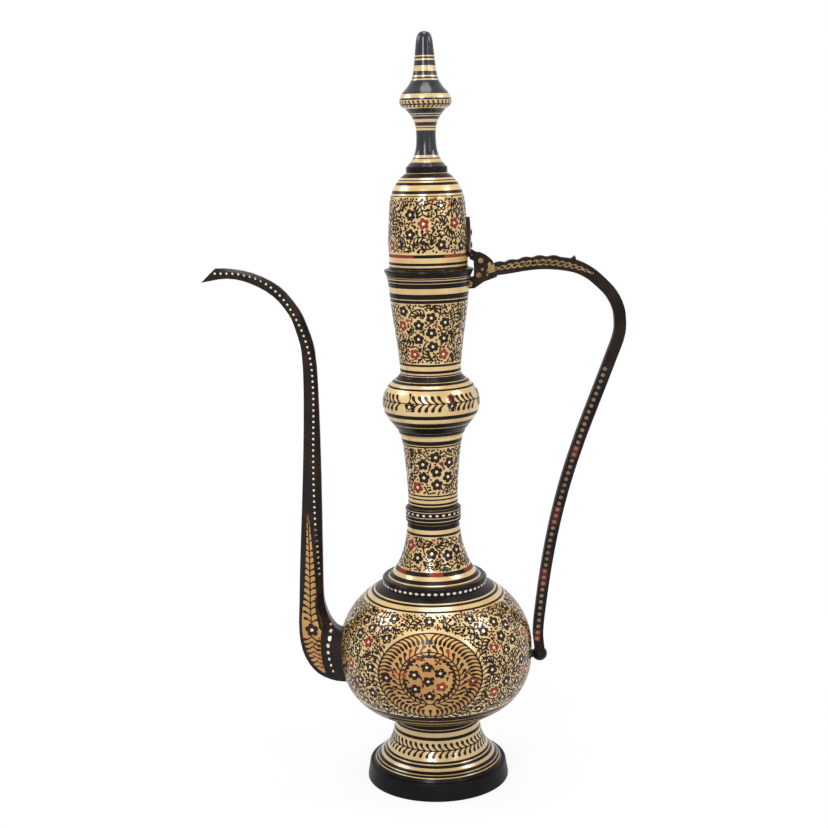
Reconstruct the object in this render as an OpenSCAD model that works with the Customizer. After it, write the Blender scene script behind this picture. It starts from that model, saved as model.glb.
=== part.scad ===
// Surahi: a tall brass ewer of turned sections, with a swan-neck spout, a bow handle and a hinged lid.
// The origin is on the axis, at the plane that it stands on. The spout points to -X, the handle to +X.

/* [Fits] */
// Wall of the turned sections
wall = 1.8; // [1.4:0.1:2.2]
// Radial gap of a spigot in its socket
fit_gap = 0.1; // [0.05:0.05:0.2]
// Gap that braze fills between two pieces
braze_gap = 0.05; // [0.03:0.01:0.1]
// Height of the spigots that join the sections
spigot_h = 3; // [2:0.5:3.5]
// Wall of the spigots
spigot_t = 1.2; // [0.8:0.1:1.6]

/* [Base and foot] */
// Radius of the base ring on the floor
base_r = 59; // [57:0.5:64]
// Radius of the base ring's top edge
base_top_r = 56.4; // [55:0.2:57]
// Height of the base ring
base_h = 14; // [10:0.5:18]
// Radius of the base ring's bore
base_bore_r = 45; // [42:0.5:46]
// Radius of the foot's toe
foot_r = 54; // [52:0.5:54.5]
// Radius of the foot under the globe
foot_neck_r = 35; // [32:0.5:38]
// Height of the foot, from the base ring to the globe
foot_h = 41.7; // [38:0.1:46]

/* [Globe] */
// Radius of the globe at its belly
globe_r = 79.7; // [77:0.1:84]
// Height of the globe above its belly
globe_up = 63.5; // [60:0.5:68]
// Depth of the globe below its belly
globe_down = 61.2; // [58:0.1:66]
// Fullness of the globe below its belly, 2 for an ellipse
globe_fullness = 2.6; // [2.2:0.1:2.7]
// Radius of the globe's mouth under the shoulder ring
globe_mouth_r = 36; // [34:0.5:38]
// Radius of the shoulder ring
shoulder_r = 42.9; // [41:0.1:46]
// Height of the shoulder ring above the globe
shoulder_h = 6.3; // [5:0.1:9]
// Bevel of the shoulder ring's top edge
shoulder_bevel = 1.3; // [0.5:0.1:2]
// Radius of the shoulder ring's bore
shoulder_bore_r = 31; // [29:0.5:31]

/* [Neck] */
// Radius of the lower neck on the shoulder ring
neck_foot_r = 38.5; // [37.5:0.1:39.5]
// Height of the lower neck
lower_neck_h = 46.7; // [42:0.1:52]
// Radius of the neck under the collar
waist_r = 21; // [20:0.1:22]
// Radius of the neck collar
collar_r = 22.6; // [22.4:0.1:26]
// Height of the neck collar
collar_h = 12; // [10:0.5:15]
// Rounding of the neck collar's edges
collar_round = 0.8; // [0.4:0.1:1.2]
// Radius of the middle neck on the collar
middle_neck_r = 20.2; // [19.5:0.1:21]
// Height of the middle neck
middle_neck_h = 64.5; // [58:0.5:72]
// Radius of the knop's lower edge
knop_foot_r = 27.6; // [26.5:0.1:29]
// Radius of the knop
knop_r = 39.2; // [36:0.1:43]
// Height of the knop
knop_h = 45.5; // [42:0.5:50]
// Radius of the cup on the knop
cup_foot_r = 24.4; // [23.5:0.1:25.5]
// Radius of the cup's top
cup_r = 33.8; // [33:0.1:34.6]
// Height of the cup
cup_h = 78.5; // [72:0.5:86]
// Radius of the cup's rim
rim_r = 35.6; // [34.8:0.1:38]
// Height of the cup's rim
rim_h = 6; // [5:0.1:8]

/* [Lid] */
// Radius of the lid's wall
lid_r = 31.4; // [31:0.1:32]
// Height of the lid's wall
lid_h = 74.2; // [68:0.1:80]
// Radius of the lid's flat top
lid_top_r = 16.5; // [15:0.1:18]
// Gap between the closed lid and the rim
seat_gap = 0.3; // [0.2:0.1:0.5]
// Radial play of the lid's flange in the rim
flange_gap = 1; // [0.8:0.1:1.4]
// Wall of the lid's flange
flange_t = 1.4; // [1:0.1:1.8]
// Reach of the flange below the lid's wall
flange_drop = 5; // [3:0.5:6]
// Height of the flange inside the lid
flange_rise = 7; // [5:0.5:7.5]
// Radius of the black disc under the finial
cap_r = 16.4; // [15.6:0.1:18]
// Height of the black disc
cap_h = 5.2; // [4:0.1:7]

/* [Finial] */
// Radius of the finial's foot
finial_foot_r = 15.6; // [14:0.1:16]
// Radius of the finial's stem
stem_r = 7.7; // [6.5:0.1:9]
// Radius of the finial's bulb
bulb_r = 20.4; // [17:0.1:23]
// Radius at the foot of the spire
spire_r = 9.2; // [8:0.1:10.5]
// Height from the finial's foot to the thinnest part of its stem
stem_h = 22.3; // [18:0.1:28]
// Height from the thinnest part of the stem to the widest part of the bulb
bulb_rise = 28.5; // [24:0.5:33]
// Height from the widest part of the bulb to the spire
bulb_fall = 21.5; // [18:0.5:26]
// Height of the spire
spire_h = 31; // [26:0.5:38]
// Radius of the finial's stud
stud_r = 3; // [2.5:0.1:3.5]
// Height of the nut on the stud
nut_h = 5; // [4:0.5:6]
// Radius of the nut across its corners
nut_r = 5.8; // [5.4:0.1:7]
// Radius of the washer under the nut
washer_r = 8; // [7.2:0.1:10]
// Thickness of the washer
washer_t = 1.2; // [0.8:0.1:2]

/* [Hinge] */
// Radius of the hinge pin
pin_r = 1.5; // [1.2:0.1:1.8]
// Radial running clearance of the hinge pin
pin_gap = 0.05; // [0.02:0.01:0.1]
// Radius of the pin's heads
pin_head_r = 2.1; // [2:0.1:2.6]
// Thickness of the pin's heads
pin_head_t = 0.8; // [0.6:0.1:1.2]
// Radius of the lid strap's knuckle
knuckle_r = 3.9; // [3.4:0.1:4.2]
// Thickness of the knuckle
knuckle_t = 2.6; // [2:0.1:3]
// Side gap of the knuckle in the handle's fork
knuckle_gap = 0.3; // [0.2:0.05:0.4]
// Height of the pin above the lid's lower edge
pin_rise = 4.7; // [4.4:0.1:5.4]
// Half width of the strap's leaf
leaf_w = 11.5; // [9:0.5:13]
// Height of the strap's leaf
leaf_h = 32; // [28:0.5:36]
// Thickness of the strap's leaf
leaf_t = 2.6; // [2:0.1:2.8]
// Radius of the strap's rivets
rivet_r = 1.2; // [1:0.1:1.5]
// Thickness of the rivets' heads
rivet_head_t = 0.6; // [0.5:0.1:1]
// Radius of the head of the lug's rivet
lug_rivet_head_r = 2.6; // [2.2:0.1:3]

/* [Handle] */
// Thickness of the handle from side to side
handle_t = 8; // [7:0.5:10]
// Width of the handle where the arm leaves the head
arm_w = 9.2; // [8:0.1:10]
// Width of the handle at the crest of the arm
crest_w = 10.2; // [9:0.1:11.5]
// Width of the handle at the bend
bend_w = 9.4; // [8:0.1:11]
// Width of the handle above the ball
leg_w = 8.2; // [7:0.1:9]
// Reach of the handle from the hinge pin to the outside of the bend
handle_reach = 111; // [100:1:122]
// Depth of the bend's outermost point below the hinge pin
bend_drop = 52; // [46:1:58]
// Gap between the cup's rim and the handle's head
rim_gap = 0.5; // [0.4:0.1:1.2]
// Height of each scallop on the arm
scallop_h = 1; // [0.6:0.1:1.6]
// Count of the scallops
scallop_count = 5; // [3:1:6]
// Radius of the ball at the handle's foot
ball_r = 6.2; // [5.4:0.1:7]
// Gap between the ball and the globe
ball_gap = 1; // [0.6:0.1:2]
// Height of the ball below the belly
ball_drop = 10.5; // [8:0.5:12]
// Radius of the neck between the ball and the globe
ball_neck_r = 3.4; // [3:0.1:4]
// Radius of the stud in the ball
ball_stud_r = 2; // [1.6:0.1:2.4]

/* [Spout] */
// Wall of the spout
spout_wall = 1.3; // [1:0.1:1.4]
// Reach of the spout's lip from the vessel's axis
spout_reach = 180; // [170:1:192]
// Height of the spout's lip above the belly
spout_h = 315.5; // [300:0.5:330]
// Depth of the spout's root from side to side
spout_depth = 34; // [30:0.5:38]
// Radius of the hole from the globe into the spout
spout_hole_r = 8; // [6:0.5:9]

/* [Hidden] */
$fn = 96;

// Colours of the finishes
brass = [0.80, 0.63, 0.32];
black = [0.07, 0.065, 0.07];
dark_bronze = [0.20, 0.14, 0.10];

// Steps of a curve between two of its points, outside and in the bore
fine = 4;
coarse = 2;

// Levels of the joints between the sections
foot_z = base_h;
globe_z = foot_z + foot_h;
belly_z = globe_z + globe_drop(foot_neck_r);
shoulder_z = belly_z + globe_rise(shoulder_r) + shoulder_h;
collar_z = shoulder_z + lower_neck_h;
middle_neck_z = collar_z + collar_h;
knop_z = middle_neck_z + middle_neck_h;
cup_z = knop_z + knop_h;
rim_z = cup_z + cup_h;
lid_z = rim_z + rim_h + seat_gap;
cap_z = lid_z + lid_h;
finial_z = cap_z + cap_h;
ball_z = belly_z - ball_drop;
lug_z = rim_z - spigot_h - lug_rivet_head_r - 4*fit_gap;
pin_z = lid_z + pin_rise;
leaf_z = pin_z + 2.5;
rivet_rows = [leaf_z + 0.3*leaf_h, leaf_z + 0.62*leaf_h];

// Outlines of the turned sections: share of the way from the lower to the upper radius, and of the height
foot_shape = [[0, 0], [0.1, 0.072], [0.37, 0.179], [0.63, 0.313], [0.77, 0.421], [0.87, 0.536], [0.94, 0.69],
    [1, 1]];
lower_neck_shape = [[0, 0], [0.28, 0.1], [0.51, 0.23], [0.7, 0.4], [0.84, 0.58], [0.94, 0.79], [1, 1]];
middle_neck_shape = [[0, 0], [0.03, 0.22], [0.16, 0.46], [0.32, 0.66], [0.54, 0.845], [0.8, 0.945], [1, 1]];
knop_rise = [[0, 0], [0.38, 0.12], [0.81, 0.275], [1, 0.46]];
knop_fall = [[0.11, 0.67], [0.42, 0.825], [0.82, 0.93], [1, 1]];
cup_shape = [[0, 0], [0.085, 0.17], [0.31, 0.39], [0.575, 0.62], [0.765, 0.81], [0.87, 0.935], [1, 1]];
lid_shape = [[0, 0], [0, 0.17], [-0.02, 0.31], [0.04, 0.5], [0.08, 0.63], [0.18, 0.765], [0.4, 0.87],
    [0.725, 0.955], [1, 1]];
stem_shape = [[0, 0], [0.38, 0.15], [0.7, 0.35], [0.91, 0.6], [1, 1]];
bulb_up_shape = [[0.05, 0.32], [0.25, 0.54], [0.61, 0.745], [0.92, 0.865], [1, 1]];
bulb_down_shape = [[0.16, 0.23], [0.6, 0.5], [0.86, 0.72], [1, 1]];
spire_shape = [[0.12, 0.29], [0.22, 0.58], [0.35, 0.84], [0.6, 0.965], [1, 1]];

// Curves through a few points
function reverse(p) = [for (i = [len(p)-1:-1:0]) p[i]];
function span(p, i) = norm(p[i+1] - p[i]);
function heading(p, i) =
    i == 0 ? (p[1] - p[0])/span(p, 0) :
    i == len(p)-1 ? (p[i] - p[i-1])/span(p, i-1) :
    (p[i+1] - p[i-1])/(span(p, i-1) + span(p, i));
function between(p, i, u) =
    let (d = span(p, i))
    p[i]*(2*u^3 - 3*u^2 + 1) + d*heading(p, i)*(u^3 - 2*u^2 + u)
    + p[i+1]*(3*u^2 - 2*u^3) + d*heading(p, i+1)*(u^3 - u^2);
function curve(p, n) =
    concat([for (i = [0:len(p)-2]) for (k = [0:n-1]) between(p, i, k/n)], [p[len(p)-1]]);

// A turned outline from its shape, and the bore that leaves an even wall behind it
function shaped(shape, r0, r1, z0, h) = [for (s = shape) [r0 + (r1 - r0)*s[0], z0 + h*s[1]]];
function bore_of(p, t) =
    [for (i = [0:len(p)-1]) let (d = heading(p, i)) [p[i][0] - t*norm(d)/max(abs(d[1]), 0.35), p[i][1]]];
function radius_at(p, z) = lookup(z, [for (q = p) [q[1], q[0]]]);

foot_line = shaped(foot_shape, foot_r, foot_neck_r, foot_z, foot_h);
lower_neck_line = shaped(lower_neck_shape, neck_foot_r, waist_r, shoulder_z, lower_neck_h);
middle_neck_line = shaped(middle_neck_shape, middle_neck_r, knop_foot_r, middle_neck_z, middle_neck_h);
knop_line = concat(shaped(knop_rise, knop_foot_r, knop_r, knop_z, knop_h),
    shaped(knop_fall, knop_r, cup_foot_r, knop_z, knop_h));
cup_line = shaped(cup_shape, cup_foot_r, cup_r, cup_z, cup_h);
lid_line = shaped(lid_shape, lid_r, lid_top_r, lid_z, lid_h);
finial_line = concat(shaped(stem_shape, finial_foot_r, stem_r, finial_z, stem_h),
    shaped(bulb_up_shape, stem_r, bulb_r, finial_z + stem_h, bulb_rise),
    shaped(bulb_down_shape, bulb_r, spire_r, finial_z + stem_h + bulb_rise, bulb_fall),
    shaped(spire_shape, spire_r, 0, finial_z + stem_h + bulb_rise + bulb_fall, spire_h));

// The globe: an ellipse above the belly, a fuller curve below it
globe_steps = 20;
function globe_drop(r) = globe_down*(1 - (r/globe_r)^globe_fullness)^(1/globe_fullness);
function globe_rise(r) = globe_up*sqrt(1 - (r/globe_r)^2);
function globe_low(a, grow) = [(globe_r + grow)*cos(a)^(2/globe_fullness),
    belly_z - (globe_down + grow)*sin(a)^(2/globe_fullness)];
function globe_high(a, grow) = [(globe_r + grow)*cos(a), belly_z + (globe_up + grow)*sin(a)];
function globe_line(grow) = concat([for (k = [globe_steps:-1:0]) globe_low(90*k/globe_steps, grow)],
    [for (k = [1:globe_steps]) globe_high(90*k/globe_steps, grow)]);
globe_bore = globe_line(-wall);

// A revolved section, and the flat shapes that sections are made of
module turn() rotate_extrude() children();
module shell(line) polygon(concat(curve(line, fine), reverse(curve(bore_of(line, wall), coarse))));
module ring(r0, r1, z0, z1) translate([r0, z0]) square([r1 - r0, z1 - z0]);
module globe_outline(grow) polygon(globe_line(grow));
// A sleeve at level z that stands in a socket of radius socket_r and is held by a wall of radius held_r
module spigot(socket_r, held_r, z) {
    ring(socket_r - fit_gap - spigot_t, socket_r - fit_gap, z - spigot_h, z + spigot_h);
    ring(socket_r - fit_gap - spigot_t, held_r, z - spigot_h, z);
}
// Flat outline in the XZ plane, given a thickness along Y
module plate(t) rotate([90, 0, 0]) linear_extrude(t, center = true) children();
module along_x(r, x0, x1, z) translate([x0, 0, z]) rotate([0, 90, 0]) cylinder(r = r, h = x1 - x0);
module along_y(r, y0, y1, x, z) translate([x, y1, z]) rotate([90, 0, 0]) cylinder(r = r, h = y1 - y0);

// Base and foot
base_spigot_r = radius_at(bore_of(foot_line, wall), foot_z + spigot_h) - fit_gap;
module base_ring() color(black) turn() {
    polygon([[base_bore_r, 0], [base_r, 0], [base_r, 0.1*base_h], [base_top_r + 0.6, 0.93*base_h],
        [base_top_r, base_h], [base_bore_r, base_h]]);
    ring(base_spigot_r - spigot_t, base_spigot_r, foot_z, foot_z + spigot_h);
}
module foot() color(brass) turn() difference() {
    shell(foot_line);
    globe_outline(braze_gap);
}

// Globe
lap_r = radius_at([for (q = globe_bore) if (q[1] <= belly_z) q], belly_z - spigot_h);
spout_hole_z = belly_z - spigot_h - spout_hole_r - 2*fit_gap;
module body_lower() color(brass) difference() {
    turn() intersection() {
        difference() {
            globe_outline(0);
            globe_outline(-wall);
        }
        ring(0, 2*globe_r, 0, belly_z);
    }
    along_x(spout_hole_r, -2*globe_r, 0, spout_hole_z);
    along_x(ball_stud_r + fit_gap, 0, 2*globe_r, ball_z);
}
module body_upper() color(brass) turn() {
    difference() {
        globe_outline(0);
        globe_outline(-wall);
        ring(0, 2*globe_r, 0, belly_z);
        ring(0, globe_mouth_r, belly_z, belly_z + 2*globe_up);
    }
    ring(lap_r - fit_gap - spigot_t, lap_r - fit_gap, belly_z - spigot_h, belly_z + spigot_h);
    ring(lap_r - fit_gap - spigot_t, globe_r - wall/2, belly_z, belly_z + spigot_h);
}
neck_socket_r = radius_at(bore_of(lower_neck_line, wall), shoulder_z + spigot_h);
module shoulder_ring() color(black) turn() difference() {
    union() {
        polygon([[shoulder_bore_r, belly_z], [shoulder_r, belly_z], [shoulder_r, shoulder_z - shoulder_bevel],
            [shoulder_r - shoulder_bevel, shoulder_z], [shoulder_bore_r, shoulder_z]]);
        ring(neck_socket_r - fit_gap - spigot_t, neck_socket_r - fit_gap, shoulder_z, shoulder_z + spigot_h);
    }
    globe_outline(braze_gap);
}

// Neck
collar_socket_r = waist_r - wall;
middle_socket_r = middle_neck_r - wall;
knop_socket_r = radius_at(bore_of(knop_line, wall), knop_z);
cup_socket_r = radius_at(bore_of(cup_line, wall), cup_z);
module lower_neck() color(brass) turn() {
    shell(lower_neck_line);
    spigot(collar_socket_r, waist_r - wall/2, collar_z);
}
module neck_collar() color(black) turn() difference() {
    union() {
        polygon([[middle_socket_r - fit_gap - spigot_t, collar_z], [collar_r - collar_round, collar_z],
            [collar_r, collar_z + collar_round], [collar_r, middle_neck_z - collar_round],
            [collar_r - collar_round, middle_neck_z], [middle_socket_r - fit_gap - spigot_t, middle_neck_z]]);
        spigot(middle_socket_r, collar_r/2 + middle_socket_r/2, middle_neck_z);
    }
    ring(0, collar_socket_r, collar_z, collar_z + spigot_h + fit_gap);
}
module middle_neck() color(brass) turn() {
    shell(middle_neck_line);
    spigot(knop_socket_r, knop_foot_r - wall/2, knop_z);
}
module knop() color(brass) turn() {
    shell(knop_line);
    spigot(cup_socket_r, cup_foot_r - wall/2, cup_z);
}
rim_sleeve_r = radius_at(bore_of(cup_line, wall), rim_z - spigot_h) - fit_gap;
rim_bore_r = rim_sleeve_r - spigot_t;
module cup() color(brass) difference() {
    turn() shell(cup_line);
    along_x(rivet_r + fit_gap, 0, 2*cup_r, lug_z);
}
module cup_rim() color(black) turn() {
    polygon([[rim_bore_r, rim_z], [cup_r, rim_z], [rim_r, rim_z + 0.66*rim_h],
        [rim_r - 0.2, rim_z + 0.84*rim_h], [(rim_r + rim_bore_r)/2, rim_z + rim_h],
        [rim_bore_r, rim_z + rim_h]]);
    ring(rim_bore_r, rim_sleeve_r, rim_z - spigot_h, rim_z);
}

// Lid
lid_bore_r = lid_r - wall;
flange_r = rim_bore_r - flange_gap;
cap_spigot_r = radius_at(bore_of(lid_line, wall), cap_z) - fit_gap;
cap_spigot_h = 2;
washer_z = cap_z - cap_spigot_h - washer_t;
nut_z = washer_z - nut_h;
module lid_wall() color(brass) difference() {
    turn() shell(lid_line);
    for (z = rivet_rows) along_x(rivet_r + fit_gap, 0, 2*lid_r, z);
}
module lid_flange() color(brass) turn() {
    ring(flange_r - flange_t, flange_r, lid_z - flange_drop, lid_z + flange_rise);
    ring(flange_r - flange_t, lid_bore_r - braze_gap, lid_z, lid_z + flange_rise);
}
module lid_cap() color(black) turn() {
    polygon([[stud_r + fit_gap, cap_z], [cap_r, cap_z], [cap_r, cap_z + 0.85*cap_h],
        [cap_r - 0.15*cap_h, finial_z], [stud_r + fit_gap, finial_z]]);
    ring(stud_r + fit_gap, cap_spigot_r, cap_z - cap_spigot_h, cap_z);
}
module finial() color(black) turn() {
    polygon(concat([[0, finial_z]], curve(finial_line, fine)));
    ring(0, stud_r, nut_z - stud_r/2, finial_z + stud_r);
}
module finial_washer() color(brass) turn() ring(stud_r + fit_gap, washer_r, washer_z, washer_z + washer_t);
module finial_nut() color(brass) translate([0, 0, nut_z]) difference() {
    cylinder(r = nut_r, h = nut_h, $fn = 6);
    translate([0, 0, -1]) cylinder(r = stud_r + fit_gap, h = nut_h + 2);
}

// Hinge: the strap's leaf lies on the lid, and its knuckle turns in the handle's fork
head_x = rim_r + rim_gap;
pin_x = head_x + knuckle_r + 1.4;
leaf_shape = [[0, 0], [0.52, 0.04], [0.92, 0.16], [1, 0.32], [0.74, 0.54], [0.34, 0.79], [0, 1]];
leaf_half = curve([for (s = leaf_shape) [leaf_w*s[0], leaf_z + leaf_h*s[1]]], fine);
leaf_edge = concat(leaf_half, [for (p = reverse(leaf_half)) if (p[0] > 0) [-p[0], p[1]]]);
lid_curve = curve(lid_line, fine);
function proud(p, t) = [for (q = p) [q[0] + t, q[1]]];
module lid_strap() color(dark_bronze) difference() {
    union() {
        intersection() {
            turn() polygon(concat(proud(lid_curve, leaf_t), reverse(proud(lid_curve, braze_gap))));
            rotate([90, 0, 90]) linear_extrude(2*lid_r) polygon(leaf_edge);
        }
        plate(knuckle_t) {
            translate([pin_x, pin_z]) circle(knuckle_r);
            polygon([[pin_x - 1, pin_z + 1.4*knuckle_r], [lid_r + leaf_t/2, leaf_z + 7.5],
                [lid_r + leaf_t/2, leaf_z - 1.5], [pin_x - knuckle_r/2, pin_z - knuckle_r/2],
                [pin_x, pin_z]]);
        }
    }
    along_y(pin_r + pin_gap, -knuckle_t, knuckle_t, pin_x, pin_z);
    for (z = rivet_rows) along_x(rivet_r + fit_gap, 0, 2*lid_r, z);
}
rivet_head_r = 2*rivet_r;
rivet_sag = 0.2;
module strap_rivets() color(brass) for (z = rivet_rows) {
    out_x = radius_at(lid_curve, z) + leaf_t + rivet_sag;
    in_x = radius_at(bore_of(lid_line, wall), z) - rivet_sag;
    along_x(rivet_r, in_x - rivet_head_t, out_x + rivet_head_t, z);
    along_x(rivet_head_r, out_x, out_x + rivet_head_t, z);
    along_x(rivet_head_r, in_x - rivet_head_t, in_x, z);
}
module hinge_pin() color(brass) {
    head_y = handle_t/2 + pin_gap;
    along_y(pin_r, -head_y - pin_head_t, head_y + pin_head_t, pin_x, pin_z);
    for (y = [-head_y - pin_head_t, head_y]) along_y(pin_head_r, y, y + pin_head_t, pin_x, pin_z);
}

// Handle: the arm runs from the pin to the bend, and the leg from the bend to the ball
ball_x = radius_at(globe_line(0), ball_z) + ball_gap + ball_r;
ball_flat = 3;
bend_x = pin_x + handle_reach;
bend_z = pin_z - bend_drop;
arm_shape = [[0.07, 0.155], [0.2, 0.12], [0.3, 0.085], [0.4, 0.063], [0.5, 0.063], [0.61, 0.088],
    [0.7, 0.137], [0.785, 0.235], [0.86, 0.372], [0.93, 0.53], [0.975, 0.7], [0.997, 0.87]];
leg_shape = [[0.993, 0.97], [0.884, 0.895], [0.694, 0.777], [0.508, 0.66], [0.338, 0.537], [0.2, 0.41],
    [0.1, 0.29], [0.022, 0.165], [-0.02, 0.07]];
handle_line = concat([for (s = arm_shape) [pin_x + handle_reach*s[0], pin_z - bend_drop*s[1]]],
    [for (s = leg_shape) [ball_x + (bend_x - ball_x)*s[0], ball_z + (bend_z - ball_z)*s[1]]],
    [[ball_x, ball_z + ball_flat + fit_gap]]);
handle_curve = curve(handle_line, fine);
last = len(handle_curve) - 1;
bend_at = fine*(len(arm_shape) - 3);
function handle_w(i) = lookup(i, [[0, arm_w], [0.6*bend_at, crest_w], [bend_at, bend_w], [last, leg_w]]);
function beside(i, side) =
    let (d = i == last ? [0, -1] : heading(handle_curve, i))
    handle_curve[i] + side*handle_w(i)/2*[-d[1], d[0]];
arm_end = 0.546;
scallop_start = 0.087;
scallop_pitch = (arm_end - scallop_start)*handle_reach/scallop_count;
scallop_sink = 0.3;
scallop_r = (scallop_pitch^2/4 + (scallop_h + scallop_sink)^2)/(2*(scallop_h + scallop_sink));
// Index of the curve's point nearest to a distance from the pin
function arm_index(x) = len([for (i = [0:bend_at]) if (handle_curve[i][0] < x) i]);
module scallop(x) {
    i = arm_index(x);
    d = heading(handle_curve, i);
    translate(handle_curve[i]) rotate(atan2(d[1], d[0])) intersection() {
        translate([0, handle_w(i)/2 + scallop_h - scallop_r]) circle(scallop_r);
        translate([-scallop_pitch/2, 0]) square([scallop_pitch, arm_w]);
    }
}
lug_x = radius_at(cup_line, lug_z) - wall/2;
// The head, from its top corner round to the lug and back up beside the rim; offsets from the pin
head_top = [[head_x - pin_x, 4.2], [-3.6, 6.6], [0, 6.2], [4.2, 4.1], [7.3, 1.7], [9.6, -0.6]];
head_foot = [[12.9, -13.2], [2.2, -17], [-2.6, -20.3]];
head_edge = concat([for (p = concat(head_top, head_foot)) [pin_x + p[0], pin_z + p[1]]],
    [[head_x, lug_z - 5], [lug_x, lug_z - 5.2], [lug_x, lug_z + 3.8], [head_x - 0.7, lug_z + 4],
    [head_x, lug_z + 5]]);
// A small thorn on top of the arm, before the bend
spur_at = 0.634;
module spur() {
    i = arm_index(pin_x + spur_at*handle_reach);
    d = heading(handle_curve, i);
    translate(handle_curve[i]) rotate(atan2(d[1], d[0]))
        polygon([[-2.5, 0], [2.5, 0], [2, handle_w(i)/2], [0.3, handle_w(i)/2 + 2.8], [-2, handle_w(i)/2]]);
}
module handle() color(dark_bronze) difference() {
    plate(handle_t) {
        polygon(concat([for (i = [0:last]) beside(i, -1)], [for (i = [last:-1:0]) beside(i, 1)]));
        polygon(reverse(head_edge));
        for (k = [0:scallop_count-1]) scallop(pin_x + scallop_start*handle_reach + (k + 0.5)*scallop_pitch);
        spur();
    }
    turn() polygon(concat(proud(curve(cup_line, fine), braze_gap), [[0, rim_z], [0, cup_z]]));
    along_y(pin_r + pin_gap, -handle_t, handle_t, pin_x, pin_z);
    plate(knuckle_t + 2*knuckle_gap) {
        translate([pin_x, pin_z]) circle(knuckle_r + 2*knuckle_gap);
        translate([pin_x - 3*knuckle_r, pin_z]) square([6*knuckle_r, 3*knuckle_r]);
        translate([pin_x - 3*knuckle_r, pin_z - knuckle_r/2]) square(3*knuckle_r);
    }
    along_x(rivet_r + fit_gap, 0, head_x + 4, lug_z);
}
module lug_rivet() color(brass) {
    in_x = radius_at(bore_of(cup_line, wall), lug_z) - 2*rivet_sag;
    along_x(rivet_r, in_x - rivet_head_t, head_x + 3, lug_z);
    along_x(lug_rivet_head_r, in_x - rivet_head_t, in_x, lug_z);
}
module handle_ball() color(black) difference() {
    union() {
        translate([ball_x, 0, ball_z]) sphere(ball_r);
        along_x(ball_neck_r, globe_r - wall, ball_x, ball_z);
    }
    translate([ball_x - ball_r, -ball_r, ball_z + ball_flat]) cube(2*ball_r);
    turn() globe_outline(braze_gap);
    along_x(ball_stud_r + fit_gap, 0, ball_x + 1, ball_z);
}
ball_stud_head_r = 4;
ball_stud_sag = 1.2;
module ball_stud() color(brass) {
    in_x = globe_r - wall - ball_stud_sag;
    along_x(ball_stud_r, in_x - rivet_head_t, ball_x, ball_z);
    along_x(ball_stud_head_r, in_x - rivet_head_t, in_x, ball_z);
}

// Spout: six flat sides between an outer and an inner rail, from inside the globe's wall to the lip
// A station gives the outer rail, the inner rail and the depth, as shares of reach, height and root depth
spout_shape = [[-0.137, -0.094, -0.137, 0.038, 1], [0.033, -0.092, -0.022, 0.045, 0.97],
    [0.187, -0.07, 0.028, 0.055, 0.91], [0.292, -0.023, 0.068, 0.074, 0.82],
    [0.332, 0.041, 0.1, 0.101, 0.735], [0.323, 0.127, 0.121, 0.14, 0.63],
    [0.305, 0.238, 0.119, 0.238, 0.515], [0.262, 0.453, 0.11, 0.453, 0.397],
    [0.232, 0.662, 0.111, 0.662, 0.306], [0.236, 0.784, 0.129, 0.788, 0.294],
    [0.28, 0.8435, 0.186, 0.8525, 0.282], [0.328, 0.881, 0.248, 0.8955, 0.27],
    [0.447, 0.928, 0.394, 0.952, 0.265], [0.629, 0.962, 0.605, 0.9875, 0.253],
    [0.809, 0.975, 0.793, 1, 0.235], [1.015, 0.966, 0.9, 1.001, 0.16]];
function spout_x(share) = -globe_r - (spout_reach - globe_r)*share;
function spout_z(share) = belly_z + spout_h*share;
spout_curve = curve([for (s = spout_shape)
    [spout_x(s[0]), spout_z(s[1]), spout_x(s[2]), spout_z(s[3]), spout_depth*s[4]]], 3);
// Corners of the section: share of the width from the middle towards the inner rail, and of the depth
spout_section = [[-0.5, -0.18], [0.22, -0.5], [0.5, -0.22], [0.5, 0.22], [0.22, 0.5], [-0.5, 0.18]];
function spout_corner(c, s, t) =
    let (a = [c[0], c[1]], b = [c[2], c[3]], p = (a + b)/2 + (b - a)*s[0]*(1 - 2*t/norm(b - a)))
    [p[0], s[1]*(c[4] - 2*t), p[1]];
sides = len(spout_section);
stations = len(spout_curve);
// Corner k of station i, on the outside (skin 0) or in the bore (skin 1)
function corner(skin, i, k) = sides*(skin*stations + i) + k % sides;
spout_faces = concat(
    [for (i = [0:stations-2]) for (k = [0:sides-1])
        [corner(0, i, k), corner(0, i+1, k), corner(0, i+1, k+1)]],
    [for (i = [0:stations-2]) for (k = [0:sides-1])
        [corner(0, i, k), corner(0, i+1, k+1), corner(0, i, k+1)]],
    [for (i = [0:stations-2]) for (k = [0:sides-1])
        [corner(1, i, k), corner(1, i+1, k+1), corner(1, i+1, k)]],
    [for (i = [0:stations-2]) for (k = [0:sides-1])
        [corner(1, i, k), corner(1, i, k+1), corner(1, i+1, k+1)]],
    [for (k = [0:sides-1]) [corner(0, 0, k), corner(0, 0, k+1), corner(1, 0, k+1), corner(1, 0, k)]],
    [for (k = [0:sides-1]) let (i = stations-1)
        [corner(0, i, k), corner(1, i, k), corner(1, i, k+1), corner(0, i, k+1)]]);
module spout() color(dark_bronze) difference() {
    polyhedron([for (t = [0, spout_wall]) for (c = spout_curve)
        for (s = spout_section) spout_corner(c, s, t)], spout_faces);
    turn() globe_outline(braze_gap);
}

base_ring();
foot();
body_lower();
body_upper();
shoulder_ring();
lower_neck();
neck_collar();
middle_neck();
knop();
cup();
cup_rim();
lid_wall();
lid_flange();
lid_cap();
finial();
finial_washer();
finial_nut();
lid_strap();
strap_rivets();
hinge_pin();
handle();
lug_rivet();
handle_ball();
ball_stud();
spout();
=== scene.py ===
import random
from math import atan2, cos, degrees, dist, hypot, pi, radians, sin

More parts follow.
